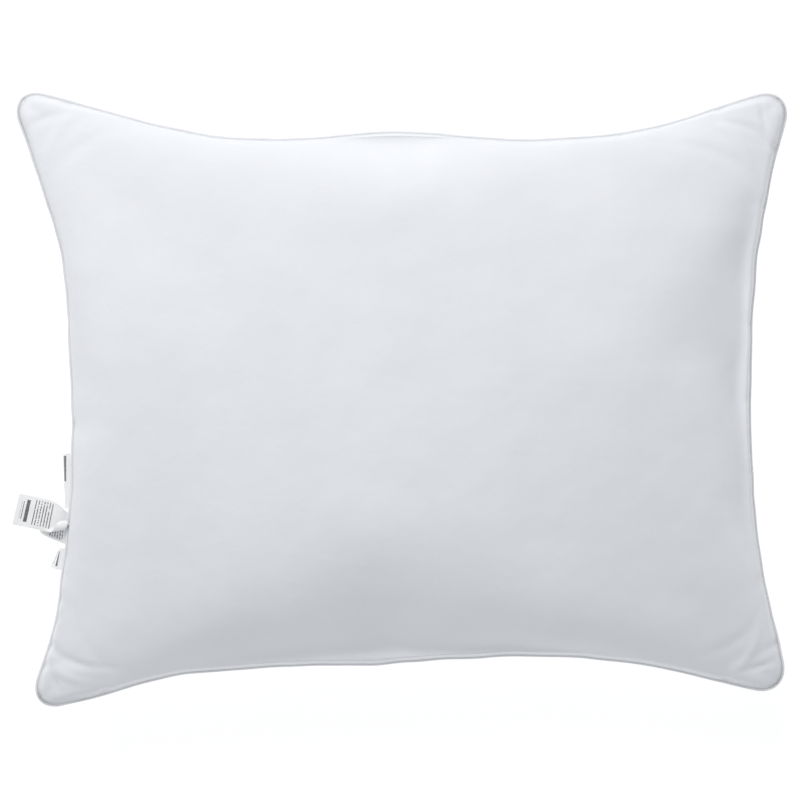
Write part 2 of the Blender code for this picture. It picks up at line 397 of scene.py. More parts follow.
def shade(rgb, by=1.0):
    return (rgb[0] * by, rgb[1] * by, rgb[2] * by, 1.0)


def percale(name, rgb, sheen=0.15):
    """Plain-woven cotton: fine crossing threads, faint slubs and a soft cloudiness."""
    tree = Tree(name)
    cut = bpy.context.scene.pillow_cover
    uv = tree.add("ShaderNodeUVMap", uv_map="cut").outputs["UV"]
    metres = tree.add("ShaderNodeMapping", {
        "Vector": uv, "Scale": (cut.cut_length, cut.cut_width, 1.0)}).outputs["Vector"]
    place = tree.add("ShaderNodeTexCoord").outputs["Object"]
    cloudy = tree.noise(place, 14.0, 3.0)
    slubs = tree.noise(tree.add("ShaderNodeMapping", {
        "Vector": metres, "Scale": (60.0, 1400.0, 1.0)}).outputs["Vector"], 1.0, 2.0)
    specks = tree.noise(metres, 900.0, 1.0)
    base = tree.mix(tree.ramp(cloudy, 0.35, 0.65, 0.0, 1.0), shade(rgb, 0.985), shade(rgb, 1.01))
    base = tree.mix(tree.ramp(slubs, 0.55, 0.75, 0.0, 0.35), base, shade(rgb, 0.965))
    tree.feed(tree.shader.inputs["Base Color"], base)
    tree.feed(tree.shader.inputs["Roughness"], tree.ramp(specks, 0.3, 0.7, 0.80, 0.92))
    tree.shader.inputs["Sheen Weight"].default_value = sheen
    tree.shader.inputs["Sheen Roughness"].default_value = 0.45
    tree.shader.inputs["Specular IOR Level"].default_value = 0.25
    threads = weave(tree, metres, 0.00036)
    rumple = tree.noise(place, 55.0, 3.0)
    soft = tree.bump(rumple, 0.0022, 0.30)
    fine = tree.bump(threads, 0.00004, 0.8, soft)
    tree.feed(tree.shader.inputs["Normal"], fine)
    return tree.material


def weave(tree, metres, pitch):
    """Height of a plain weave with the given thread pitch, 0..1."""
    split = tree.add("ShaderNodeSeparateXYZ", {"Vector": metres})
    turn = math.pi / pitch
    across = tree.math("SINE", tree.math("MULTIPLY", split.outputs["X"], turn))
    along = tree.math("SINE", tree.math("MULTIPLY", split.outputs["Y"], turn))
    return tree.ramp(tree.math("MULTIPLY", across, along), -1.0, 1.0, 0.0, 1.0)


def plain_cloth(name, rgb, scale, roughness=0.85, sheen=0.1):
    """Cloth of a narrow piece: threads run slantwise over it."""
    tree = Tree(name)
    place = tree.add("ShaderNodeTexCoord").outputs["Object"]
    turned = tree.add("ShaderNodeMapping", {
        "Vector": place, "Rotation": (0.3, 0.2, 0.785)}).outputs["Vector"]
    blotch = tree.noise(place, 40.0, 2.0)
    ribs = tree.add("ShaderNodeTexWave", {
        "Vector": turned, "Scale": scale, "Distortion": 0.6}, wave_type="BANDS").outputs["Fac"]
    base = tree.mix(tree.ramp(blotch, 0.35, 0.65, 0.0, 1.0), shade(rgb, 0.96), shade(rgb, 1.02))
    base = tree.mix(tree.ramp(ribs, 0.0, 1.0, 0.0, 0.25), base, shade(rgb, 0.88))
    tree.feed(tree.shader.inputs["Base Color"], base)
    tree.shader.inputs["Roughness"].default_value = roughness
    tree.shader.inputs["Sheen Weight"].default_value = sheen
    tree.shader.inputs["Specular IOR Level"].default_value = 0.25
    tree.feed(tree.shader.inputs["Normal"], tree.bump(ribs, 0.00006, 0.7))
    return tree.material


def fibre_material(rgb):
    """Blown fibre: a tangle of fine strands, with soft painted shade in the hollows between its tufts.
    """
    tree = Tree("polyester fibre")
    place = tree.add("ShaderNodeTexCoord").outputs["Object"]
    tangle = tree.noise(place, 420.0, 6.0, 0.7)
    tufts = tree.noise(place, 38.0, 4.0)
    # Painted shade: the colour is darker where the tuft height is low, in the hollows between the tufts.
    base = tree.mix(tree.ramp(tufts, 0.3, 0.7, 0.0, 1.0), shade(rgb, 0.90), shade(rgb, 1.03))
    tree.feed(tree.shader.inputs["Base Color"], base)
    tree.shader.inputs["Roughness"].default_value = 0.95
    tree.shader.inputs["Sheen Weight"].default_value = 0.3
    coarse = tree.bump(tufts, 0.004, 0.6)
    tree.feed(tree.shader.inputs["Normal"], tree.bump(tangle, 0.0006, 0.8, coarse))
    return tree.material


def twisted_thread(name, rgb, turns):
    """Sewing thread or cord: plies that wind round it, with painted shade in the grooves between them.
    """
    tree = Tree(name)
    place = tree.add("ShaderNodeTexCoord").outputs["Object"]
    slant = tree.add("ShaderNodeMapping", {
        "Vector": place, "Rotation": (0.0, 0.5, 0.6)}).outputs["Vector"]
    plies = tree.add("ShaderNodeTexWave", {"Vector": slant, "Scale": turns, "Distortion": 0.3},
                     wave_type="BANDS", bands_direction="DIAGONAL").outputs["Fac"]
    # Painted shade: the colour is darker where the ply height is low, in the grooves between the plies.
    tree.feed(tree.shader.inputs["Base Color"],
              tree.mix(plies, shade(rgb, 0.86), shade(rgb, 1.03)))
    tree.shader.inputs["Roughness"].default_value = 0.55
    tree.feed(tree.shader.inputs["Normal"], tree.bump(plies, 0.00005, 0.8))
    return tree.material


# ---------------------------------------------------------------- cover

def cover_cage(settings):
    """Both panels laid flat on each other at the cut's size, joined at the seam.

    Returns the mesh, the sewn place of each vertex, and the indices of the seam's vertices.
    """
    bm = bmesh.new()
    for side in (1, -1):
        grid = bmesh.ops.create_grid(bm, x_segments=CELLS_U, y_segments=CELLS_V, size=1.0)
        faces = {face for vert in grid["verts"] for face in vert.link_faces}
        for vert in grid["verts"]:
            inside = abs(vert.co.x) < 0.9999 and abs(vert.co.y) < 0.9999
            vert.co.z = side if inside else 0.0
        for face in faces:
            face.material_index = 0 if side > 0 else 1
        if side < 0:
            bmesh.ops.reverse_faces(bm, faces=list(faces))
    layer = bm.loops.layers.uv.new("cut")
    for face in bm.faces:
        for loop in face.loops:
            loop[layer].uv = ((loop.vert.co.x + 1.0) / 2.0, (loop.vert.co.y + 1.0) / 2.0)
    bmesh.ops.remove_doubles(bm, verts=bm.verts, dist=0.0001)
    sewn, pinned = [], []
    for index, vert in enumerate(bm.verts):
        u, v, side = vert.co
        swell = side * math.sqrt(max(0.0, (1.0 - u ** 4) * (1.0 - v ** 4)))
        seam = seam_point(u, v)
        sewn.append((seam.x, seam.y, seam.z + SEWN_SWELL * swell))
        flat_u, flat_v = round_corner(u, v)
        left, right, bottom, top = settings.hollow
        x = flat_u * settings.cut_length / 2.0
        x += (left * max(-u, 0.0) ** 2 - right * max(u, 0.0) ** 2) * (1.0 - v * v)
        y = flat_v * settings.cut_width / 2.0
        y += (bottom * max(-v, 0.0) ** 2 - top * max(v, 0.0) ** 2) * (1.0 - u * u)
        vert.co = (x, y, seam.z + FLAT_SWELL * swell)
        if side == 0.0:
            pinned.append(index)
    return mesh_of(bm, "cover"), np.array(sewn), pinned


def inflate(mesh, sewn, pinned, pressure):
    """Draw the flat panels in to the sewn outline while the filling pushes them out."""
    cover = new_object("cover", mesh)
    cover.shape_key_add(name="flat")
    drawn = cover.shape_key_add(name="sewn")
    drawn.data.foreach_set("co", sewn.astype(np.float32).ravel())
    for at, value in ((1, 0.0), (SEW_FRAMES, 1.0)):
        drawn.value = value
        drawn.keyframe_insert("value", frame=at)
    for line in mesh.shape_keys.animation_data.action.fcurves:
        for key in line.keyframe_points:
            key.interpolation = "LINEAR"
    seam = cover.vertex_groups.new(name="seam")
    seam.add(pinned, 1.0, "REPLACE")
    cloth = cover.modifiers.new("Cloth", "CLOTH")
    feel = cloth.settings
    feel.quality, feel.mass, feel.air_damping = 6, 0.12, 2.0
    feel.tension_stiffness, feel.compression_stiffness = 30.0, 20.0
    feel.shear_stiffness, feel.bending_stiffness = 8.0, 0.6
    feel.tension_damping = feel.compression_damping = feel.shear_damping = 5.0
    feel.bending_damping = 0.5
    feel.use_pressure, feel.uniform_pressure_force = True, pressure
    feel.vertex_group_mass, feel.pin_stiffness = "seam", 1.0
    feel.effector_weights.gravity = 0.0
    cloth.collision_settings.use_self_collision = False
    cloth.collision_settings.distance_min = CLOTH_GAP
    bpy.ops.mesh.primitive_plane_add(size=2.0, location=(0.0, 0.0, -BED_DEPTH))
    bed = bpy.context.object
    bed.modifiers.new("Collision", "COLLISION")
    bed.collision.thickness_outer = BED_SKIN
    scene = bpy.context.scene
    last = SEW_FRAMES + SETTLE_FRAMES
    scene.frame_start, scene.frame_end = 1, last
    cloth.point_cache.frame_start, cloth.point_cache.frame_end = 1, last
    for step in range(1, last + 1):
        scene.frame_set(step)
    made = bake(cover)
    scene.frame_set(1)
    bpy.data.objects.remove(bed, do_unlink=True)
    return made


def crowned(mesh, sewn):
    """The CAD solids' smooth crown over the sewn outline, above and below."""
    low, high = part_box("front_panel")[0].z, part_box("front_panel")[1].z
    uv = point_uv(mesh)
    edge = (1.0 - abs(uv[:, 0]) ** CROWN_SPREAD) * (1.0 - abs(uv[:, 1]) ** CROWN_SPREAD)
    crown = (high - low) * np.clip(edge, 0.0, 1.0) ** CROWN_EDGE
    crown *= (1.0 - CORNER_FLATTENING * (uv[:, 0] * uv[:, 1]) ** 2) ** CORNER_EASE
    side = np.sign(np.round(sewn[:, 2] - SEAM_HEIGHT, 3))
    places = sewn.copy()
    places[:, 2] = np.maximum(SEAM_HEIGHT + side * crown, 0.0005)
    return places


# Puckers drawn up by the seams: side, place along it from -1 to 1, width, strength
PUCKERS = (
    ("left", -0.085, 0.0050, 1.30), ("left", 0.10, 0.0060, 0.50), ("left", 0.33, 0.0075, 0.55),
    ("left", -0.50, 0.0042, 0.90), ("left", -0.565, 0.0036, 0.80), ("left", -0.64, 0.0045, 1.25),
    ("left", -0.715, 0.0040, 1.00), ("left", -0.79, 0.0045, 1.20), ("left", -0.86, 0.0042, 1.00),
    ("right", 0.22, 0.0070, 0.90), ("right", -0.02, 0.0065, 0.55), ("right", -0.30, 0.0060, 0.60),
    ("right", -0.62, 0.0055, 0.75), ("right", 0.62, 0.0060, 0.70), ("right", 0.80, 0.0045, 1.10),
    ("right", -0.83, 0.0045, 1.10), ("top", -0.86, 0.0055, 0.80), ("top", -0.55, 0.0090, 0.35),
    ("top", 0.12, 0.0080, 0.35), ("top", 0.55, 0.0090, 0.40), ("top", 0.82, 0.0055, 0.90),
    ("bottom", -0.80, 0.0055, 0.90), ("bottom", -0.42, 0.0080, 0.40), ("bottom", 0.05, 0.0090, 0.35),
    ("bottom", 0.46, 0.0075, 0.50), ("bottom", 0.84, 0.0050, 1.00),
)


def pucker_depth(uv, settings):
    """Depth of the drawn-up puckers at each u, v of the cut."""
    half_u, half_v = settings.cut_length / 2.0, settings.cut_width / 2.0
    sides = {
        "left": (half_u * (1.0 + uv[:, 0]), uv[:, 1], half_v),
        "right": (half_u * (1.0 - uv[:, 0]), uv[:, 1], half_v),
        "bottom": (half_v * (1.0 + uv[:, 1]), uv[:, 0], half_u),
        "top": (half_v * (1.0 - uv[:, 1]), uv[:, 0], half_u),
    }
    depth = np.zeros(len(uv))
    for number, (side, place, width, strength) in enumerate(PUCKERS):
        away, along, half = sides[side]
        slant = 0.35 * math.sin(number * 2.4)
        reach = 0.017 + 0.9 * width + 0.005 * math.cos(number * 1.7)
        offset = (along - place) * half - slant * away
        spread = width * (1.0 + away / 0.030)
        shape = np.exp(-(offset / spread) ** 2) * (1.0 - 0.9 * (offset / spread) ** 2)
        depth += strength * shape * np.exp(-away / reach) * (1.0 - 0.35 * np.exp(-away / 0.002))
    return depth


# Folds that run across the neck of a corner: corner, distance from its tip, width, lean, depth
CREASES = (
    ((-1, 1), 0.034, 0.0055, 0.35, 0.7), ((-1, 1), 0.052, 0.0070, -0.20, -0.6),
    ((-1, 1), 0.074, 0.0090, 0.15, 0.5),
    ((1, 1), 0.030, 0.0045, -0.60, 1.0), ((1, 1), 0.047, 0.0055, 0.35, 1.0),
    ((1, 1), 0.063, 0.0060, -0.10, -0.8), ((1, 1), 0.084, 0.0090, 0.40, 0.6),
    ((1, -1), 0.033, 0.0050, 0.50, 1.1), ((1, -1), 0.049, 0.0055, -0.20, -1.0),
    ((1, -1), 0.068, 0.0075, 0.25, 0.7),
    ((-1, -1), 0.028, 0.0045, -0.25, 1.2), ((-1, -1), 0.041, 0.0050, 0.30, -1.0),
    ((-1, -1), 0.056, 0.0055, 0.55, 1.1), ((-1, -1), 0.076, 0.0075, -0.15, 0.6),
)


def crease_ears(uv, settings):
    """Depth of the folds across the corners at each u, v of the cut."""
    depth = np.zeros(len(uv))
    for (side_u, side_v), run, width, lean, strength in CREASES:
        across = (1.0 - uv[:, 0] * side_u) * settings.cut_length / 2.0
        down = (1.0 - uv[:, 1] * side_v) * settings.cut_width / 2.0
        outward = (across + down) * math.sqrt(0.5)
        sideways = (across - down) * math.sqrt(0.5)
        offset = outward - run - lean * sideways - 4.0 * sideways ** 2
        fold = np.exp(-(offset / width) ** 2) * (1.0 - (offset / width) ** 2)
        depth += strength * fold * np.exp(-(sideways / (0.45 * run)) ** 2)
    return depth


def soften(places, mesh, rounds, keep):
    """Even out values on the cloth's vertices, leaving those of kept vertices as they are."""
    pairs = np.zeros(len(mesh.edges) * 2, np.int32)
    mesh.edges.foreach_get("vertices", pairs)
    pairs = pairs.reshape(-1, 2)
    count = np.bincount(pairs.ravel(), minlength=len(places))[:, None]
    for _ in range(rounds):
        total = np.zeros_like(places)
        np.add.at(total, pairs[:, 0], places[pairs[:, 1]])
        np.add.at(total, pairs[:, 1], places[pairs[:, 0]])
        eased = places + 0.5 * (total / count - places)
        places = np.where(keep[:, None], places, eased)
    return places


def draw_in(places, reach):
    """Draw the cloth in where it hangs out over the seam, or stands steeper above it than LEAN."""
    marks = np.linspace(-1.0, 1.0, 241)
    sides = {name: np.array([seam_point(*at(m))[:2] for m in marks]) for name, at in (
        ("left", lambda m: (-1.0, m)), ("right", lambda m: (1.0, m)),
        ("bottom", lambda m: (m, -1.0)), ("top", lambda m: (m, 1.0)))}
    for name, axis, sign in (("left", 0, -1.0), ("right", 0, 1.0), ("bottom", 1, -1.0), ("top", 1, 1.0)):
        line = sides[name]
        edge = np.interp(places[:, 1 - axis], line[:, 1 - axis], line[:, axis])
        over = (places[:, axis] - edge) * sign - reach + LEAN * np.abs(places[:, 2] - SEAM_HEIGHT)
        near = np.abs(places[:, axis] - edge) < 0.05
        places[:, axis] -= sign * np.where(near, np.maximum(over, 0.0) * 0.9, 0.0)
    return places


def ease_form(mesh, sewn):
    """Ease the simulated cover's sharp ridges, measured from the smooth crown, and its overhang."""
    on_seam = np.max(np.abs(point_uv(mesh)), axis=1) > ON_SEAM
    plain = crowned(mesh, sewn)
    ridges = soften(coordinates(mesh) - plain, mesh, EASE_ROUNDS, on_seam)
    place_vertices(mesh, draw_in(plain + ridges, 0.2 * MM))


def finish_cover(mesh, settings):
    """Subdivide the simulated cover and give it the seam's puckers and folds."""
    cover = new_object("cover", mesh)
    finer = cover.modifiers.new("Finer", "SUBSURF")
    finer.levels = finer.render_levels = 1
    finer.uv_smooth = "NONE"
    mesh = bake(cover)
    uv = point_uv(mesh)
    places, facing = coordinates(mesh), normals(mesh)
    on_seam = np.max(np.abs(uv), axis=1) > ON_SEAM
    lumps = [noise.noise(Vector(p) * 16.0) + 0.5 * noise.noise(Vector(p) * 37.0) for p in places]
    inner = np.clip((1.0 - np.max(np.abs(uv), axis=1)) * 6.0, 0.0, 1.0)
    shift = LUMP_HEIGHT * inner * np.array(lumps)
    shift -= settings.pucker * pucker_depth(uv, settings) + settings.crease * crease_ears(uv, settings)
    shift[on_seam | (places[:, 2] < RESTING)] = 0.0
    places = draw_in(places + facing * shift[:, None], 0.4 * MM)
    for index in np.nonzero(on_seam)[0]:
        places[index] = seam_point(*uv[index])
    places[:, 2] = np.maximum(places[:, 2], 0.0003)
    place_vertices(mesh, places)
    return mesh


def inward_directions(rim):
    """Level direction into the panel at each vertex of its open edge."""
    found = {}
    for vert in rim:
        a, b = (edge.other_vert(vert).co for edge in vert.link_edges if edge.is_boundary)
        across = Vector((a.y - b.y, b.x - a.x, 0.0)).normalized()
        middle = Vector((vert.co.x, vert.co.y, 0.0)) * 0.8
        found[vert] = across if across.dot(middle - vert.co) > 0.0 else -across
    return found


def turn_in(bm, side):
    """Lift the panel's edge onto the piping and turn its seam allowance in."""
    edges = [edge for edge in bm.edges if edge.is_boundary]
    inward = inward_directions({vert for edge in edges for vert in edge.verts})
    spots = {vert: (vert.co.copy(), way) for vert, way in inward.items()}
    for vert, (spot, way) in spots.items():
        vert.co = spot - way * NOSE_REACH + Vector((0.0, 0.0, side * NOSE_RISE))
    for reach, rise in ((0.8 * MM, 0.9 * MM), (3.0 * MM, 0.75 * MM), (ALLOWANCE, 0.75 * MM)):
        grown = bmesh.ops.extrude_edge_only(bm, edges=edges)["geom"]
        edges = [item for item in grown if isinstance(item, bmesh.types.BMEdge)]
        moved = {}
        for vert in [item for item in grown if isinstance(item, bmesh.types.BMVert)]:
            source = next(edge.other_vert(vert) for edge in vert.link_edges
                          if edge.other_vert(vert) in spots)
            moved[vert] = spots[source]
        for vert, (spot, way) in moved.items():
            vert.co = spot + way * reach + Vector((0.0, 0.0, side * rise))
        spots = moved


def make_panel(form, side, settings, finish):
    """One cover panel, cut from the finished cover: the front for side 1, the back for -1."""
    name = "front_cover" if side > 0 else "back_cover"
    bm = bmesh.new()
    bm.from_mesh(form)
    unwanted = [face for face in bm.faces if (face.material_index == 0) != (side > 0)]
    bmesh.ops.delete(bm, geom=unwanted, context="FACES")
    for face in bm.faces:
        face.material_index = 0
    turn_in(bm, side)
    panel = new_object(name, mesh_of(bm, name), finish)
    add_thickness(panel, settings.thickness)
    attach(panel, "front_panel" if side > 0 else "back_panel")


class PILLOW_OT_cover(bpy.types.Operator):
    """Simulate the sewn cover and cut it into its front and back panels"""
    bl_idname = "pillow.cover"
    bl_label = "Cover panels"

    def execute(self, context):
        settings = context.scene.pillow_cover
        cage, sewn, pinned = cover_cage(settings)
        form = inflate(cage, sewn, pinned, settings.fullness)
        ease_form(form, sewn)
        form.name = "cover form"
        form.use_fake_user = True
        fine = finish_cover(form.copy(), settings)
        for side in (1, -1):
            make_panel(fine, side, settings, percale(f"percale {side}", settings.cloth))
        bpy.data.meshes.remove(fine)
        return {"FINISHED"}


# ---------------------------------------------------------------- filling

def form_grids(form):
    """The simulated cover as two grids of points, the back and the front."""
    grids = np.zeros((2, CELLS_V + 1, CELLS_U + 1, 3))
    uv, places = point_uv(form), coordinates(form)
    column = np.rint((uv[:, 0] + 1.0) / 2.0 * CELLS_U).astype(int)
    row = np.rint((uv[:, 1] + 1.0) / 2.0 * CELLS_V).astype(int)
    side = np.zeros(len(places), int)
    for face in form.polygons:
        if face.material_index == 0:
            side[list(face.vertices)] = 1
    grids[side, row, column] = places
    rim = (column == 0) | (column == CELLS_U) | (row == 0) | (row == CELLS_V)
    grids[0, row[rim], column[rim]] = grids[1, row[rim], column[rim]] = places[rim]
    return grids


def sample(grid, u, v):
    """The grid's point at u, v from -1 to 1, between its four nearest points."""
    x = min((u + 1.0) / 2.0 * CELLS_U, CELLS_U - 1e-6)
    y = min((v + 1.0) / 2.0 * CELLS_V, CELLS_V - 1e-6)
    i, j = int(x), int(y)
    s, t = x - i, y - j
    low = grid[j, i] * (1.0 - s) + grid[j, i + 1] * s
    high = grid[j + 1, i] * (1.0 - s) + grid[j + 1, i + 1] * s
    return low * (1.0 - t) + high * t


class PILLOW_OT_filling(bpy.types.Operator):
    """Blow the fibre in: one lumpy block that fills the cover"""
    bl_idname = "pillow.filling"
    bl_label = "Fibre filling"

    CUTS = 63
    EDGE = 0.94

    def execute(self, context):
        settings = context.scene.pillow_filling
        back, front = form_grids(bpy.data.meshes["cover form"])
        bm = bmesh.new()
        bmesh.ops.create_cube(bm, size=2.0)
        bmesh.ops.subdivide_edges(bm, edges=bm.edges[:], cuts=self.CUTS, use_grid_fill=True)
        for vert in bm.verts:
            u, v = vert.co.x * self.EDGE, vert.co.y * self.EDGE
            low, high = sample(back, u, v), sample(front, u, v)
            room = max((high[2] - low[2]) / 2.0, 0.0)
            gap = min(settings.gap, 0.8 * room)
            share = (gap + (vert.co.z + 1.0) * (room - gap)) / max(2.0 * room, 0.0001)
            vert.co = Vector(low).lerp(Vector(high), share)
        bmesh.ops.recalc_face_normals(bm, faces=bm.faces)
        bm.normal_update()
        pushes = {}
        for vert in bm.verts:
            tuft = noise.turbulence(vert.co * 30.0, 3, False)
            pushes[vert] = -vert.normal * settings.lump * min(1.0, max(0.0, tuft))
        for vert, push in pushes.items():
            vert.co += push
        filling = new_object("fibre_filling", mesh_of(bm, "fibre_filling"),
                             fibre_material(settings.fibre))
        attach(filling, "fibre_fill")
        return {"FINISHED"}


# ---------------------------------------------------------------- piping

def tape_profile(radius, offset, flange, wobble):
    """Half-way line of the tape's wall: in along one flange, round the cord, out along the other."""
    rise = 0.30 * MM
    lip = math.asin(rise / radius)
    line = [(-flange, rise), (-flange * 0.5, rise)]
    for i in range(15):
        turn = (math.pi - lip) * (1.0 - 2.0 * i / 14.0)
        line.append((offset + radius * wobble * math.cos(turn), radius * wobble * math.sin(turn)))
    return line + [(-flange * 0.5, -rise), (-flange, -rise)]


class PILLOW_OT_piping(bpy.types.Operator):
    """Lay the piping round the seam: a twisted cord inside a folded tape"""
    bl_idname = "pillow.piping"
    bl_label = "Piping"

    STATIONS = 1100
    CORD_STATIONS = 2600
    CORD_SIDES = 12
    CORD_PLIES = 3

    def execute(self, context):
        settings = context.scene.pillow_piping
        points, outward, _ = seam_ring(self.STATIONS)
        middle = TAPE_RADIUS - settings.wall / 2.0

        def tape_at(j):
            spot = Vector(points[j])
            wobble = 1.0 + 0.05 * noise.noise(spot * 160.0) + 0.03 * noise.noise(spot * 520.0)
            return tape_profile(middle, TAPE_RADIUS, settings.flange, wobble)

        bm = sweep(points, outward, tape_at, False)
        tape = new_object("piping_tape_cover", mesh_of(bm, "piping_tape_cover"),
                          plain_cloth("piping cloth", settings.tape, 900.0))
        add_thickness(tape, settings.wall)
        attach(tape, "piping_tape")

        points, outward, total = seam_ring(self.CORD_STATIONS)
        lay = total / round(total / (CORD_RADIUS * 8.0))

        def cord_at(j):
            ring = []
            for i in range(self.CORD_SIDES):
                turn = 2.0 * math.pi * i / self.CORD_SIDES
                twist = 2.0 * math.pi * (j * total / self.CORD_STATIONS) / lay
                ply = abs(math.cos(0.5 * self.CORD_PLIES * (turn - twist)))
                reach = CORD_RADIUS * (0.80 + 0.18 * ply)
                ring.append((TAPE_RADIUS + reach * math.cos(turn), reach * math.sin(turn)))
            return ring

        bm = sweep(points, outward, cord_at, True)
        cord = new_object("piping_core_cord", mesh_of(bm, "piping_core_cord"),
                          twisted_thread("cord cotton", settings.cord, 700.0))
        attach(cord, "piping_cord")
        return {"FINISHED"}


# ---------------------------------------------------------------- stitches

def stitch_tree(finish):
    """Geometry nodes that set stitches along an edge line."""
    tree = bpy.data.node_groups.new("Stitches", "GeometryNodeTree")
    sockets = {"Geometry": tree.interface.new_socket(
        "Geometry", in_out="INPUT", socket_type="NodeSocketGeometry")}
    for name in ("Pitch", "Length", "Radius", "Slant"):
        sockets[name] = tree.interface.new_socket(name, in_out="INPUT", socket_type="NodeSocketFloat")
    tree.interface.new_socket("Geometry", in_out="OUTPUT", socket_type="NodeSocketGeometry")
    nodes, links = tree.nodes, tree.links
    source, result = nodes.new("NodeGroupInput"), nodes.new("NodeGroupOutput")
    line = nodes.new("GeometryNodeMeshToCurve")
    steps = nodes.new("GeometryNodeResampleCurve")
    steps.mode = "LENGTH"
    tangent = nodes.new("GeometryNodeInputTangent")
    turn = nodes.new("FunctionNodeAlignRotationToVector")
    turn.axis = "X"
    tilt = nodes.new("FunctionNodeRotateRotation")
    tilt.rotation_space = "LOCAL"
    angle = nodes.new("ShaderNodeCombineXYZ")
    to_rotation = nodes.new("FunctionNodeEulerToRotation")
    stitch = nodes.new("GeometryNodeMeshUVSphere")
    stitch.inputs["Segments"].default_value = 8
    stitch.inputs["Rings"].default_value = 6
    smooth = nodes.new("GeometryNodeSetShadeSmooth")
    size = nodes.new("ShaderNodeCombineXYZ")
    slack = nodes.new("FunctionNodeRandomValue")
    slack.data_type = "FLOAT"
    slack.inputs["Min"].default_value = 0.90
    slack.inputs["Max"].default_value = 1.08
    slack.inputs["Seed"].default_value = 7
    stretched = nodes.new("ShaderNodeMath")
    stretched.operation = "MULTIPLY"
    place = nodes.new("GeometryNodeInstanceOnPoints")
    real = nodes.new("GeometryNodeRealizeInstances")
    dye = nodes.new("GeometryNodeSetMaterial")
    dye.inputs["Material"].default_value = finish
    random_out = next(out for out in slack.outputs if out.enabled)
    for a, b in (
        (source.outputs["Geometry"], line.inputs["Mesh"]),
        (line.outputs["Curve"], steps.inputs["Curve"]),
        (source.outputs["Pitch"], steps.inputs["Length"]),
        (steps.outputs["Curve"], place.inputs["Points"]),
        (tangent.outputs["Tangent"], turn.inputs["Vector"]),
        (source.outputs["Slant"], angle.inputs["Z"]),
        (angle.outputs["Vector"], to_rotation.inputs["Euler"]),
        (turn.outputs["Rotation"], tilt.inputs["Rotation"]),
        (to_rotation.outputs["Rotation"], tilt.inputs["Rotate By"]),
        (tilt.outputs["Rotation"], place.inputs["Rotation"]),
        (stitch.outputs["Mesh"], smooth.inputs["Geometry"]),
        (smooth.outputs["Geometry"], place.inputs["Instance"]),
        (source.outputs["Length"], stretched.inputs[0]),
        (random_out, stretched.inputs[1]),
        (stretched.outputs["Value"], size.inputs["X"]),
        (source.outputs["Radius"], size.inputs["Y"]),
        (source.outputs["Radius"], size.inputs["Z"]),
        (size.outputs["Vector"], place.inputs["Scale"]),
        (place.outputs["Instances"], real.inputs["Geometry"]),
        (real.outputs["Geometry"], dye.inputs["Geometry"]),
        (dye.outputs["Geometry"], result.inputs["Geometry"]),
    ):
        links.new(a, b)
    return tree, {name: socket.identifier for name, socket in sockets.items()}


def stitch_along(name, points, closed, pitch, cover_share, radius, slant, finish):
    """Stitches along a line of points, as a plain mesh."""
    bm = bmesh.new()
    verts = [bm.verts.new(point) for point in points]
    ends = zip(verts, verts[1:] + verts[:1]) if closed else zip(verts, verts[1:])
    for a, b in ends:
        bm.edges.new((a, b))
    guide = new_object(name, mesh_of(bm, name, smooth=False))
    tree, sockets = stitch_tree(finish)
    run = guide.modifiers.new("Stitches", "NODES")
    run.node_group = tree
    run[sockets["Pitch"]] = pitch
    run[sockets["Length"]] = pitch * cover_share / 2.0
    run[sockets["Radius"]] = radius
    run[sockets["Slant"]] = slant
    mesh = bake(guide)
    bpy.data.node_groups.remove(tree)
    mesh.shade_smooth()
    return new_object(name, mesh)


class PILLOW_OT_seam_stitches(bpy.types.Operator):
    """Sew the lockstitch that joins the panels and the piping, above and below"""
    bl_idname = "pillow.seam_stitches"
    bl_label = "Seam stitches"

    INSET = 1.7 * MM
    RISE = 1.35 * MM

    def execute(self, context):
        settings = context.scene.pillow_stitches
        finish = twisted_thread("seam thread", settings.thread, 2600.0)
        points, outward, total = seam_ring(900)
        pitch = total / round(total / settings.pitch)
        for name, node, side in (("seam_needle_stitches", "seam_needle_thread", 1),
                                 ("seam_bobbin_stitches", "seam_bobbin_thread", -1)):
            line = points - outward * self.INSET
            line[:, 2] += side * self.RISE
            piece = stitch_along(name, [tuple(p) for p in line], True, pitch, 1.05,
                                 settings.radius, 0.05, finish)
            attach(piece, node)
        return {"FINISHED"}


class PILLOW_OT_closing_stitches(bpy.types.Operator):
    """Sew the filling opening shut beside the piping, on the label side"""
    bl_idname = "pillow.closing_stitches"
    bl_label = "Closing stitches"

    RISE = 2.2 * MM
    STATIONS = 1600
    STANDOFF, REACH = 0.02, 0.05              # the search for the cover starts outside it

    def execute(self, context):
        settings = context.scene.pillow_stitches
        low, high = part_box("closing_thread")
        points, outward, _ = seam_ring(self.STATIONS)
        chosen = [i for i in range(len(points))
                  if points[i][0] < 0.0 and low.y <= points[i][1] <= high.y]
        cover = bpy.data.objects["front_cover"]
        graph = bpy.context.evaluated_depsgraph_get()
        line = []
        for i in chosen:
            way = Vector(outward[i])
            start = Vector(points[i]) + way * self.STANDOFF + Vector((0.0, 0.0, self.RISE))
            hit, spot, facing, _ = cover.evaluated_get(graph).ray_cast(start, -way, distance=self.REACH)
            if not hit:
                raise RuntimeError("the closing stitches found no cover")
            line.append(tuple(spot + facing * settings.radius * 0.4))
        piece = stitch_along("closing_stitches", line, False, settings.closing_pitch, 0.72,
                             settings.radius * 1.15, 0.10,
                             twisted_thread("closing thread", settings.thread, 2600.0))
        attach(piece, "closing_thread")
        return {"FINISHED"}


# ---------------------------------------------------------------- labels

def label_frame(name):
    """The label's fold line: its middle, and the directions along it, outward and up."""
    joint = next(j for j in frame["joints"] if j["child"] == name)
    along = Vector(joint["axis"]).normalized()
    up = Vector((0.0, 0.0, 1.0))
    return Vector(joint["pos_m"]), along, up.cross(along), up


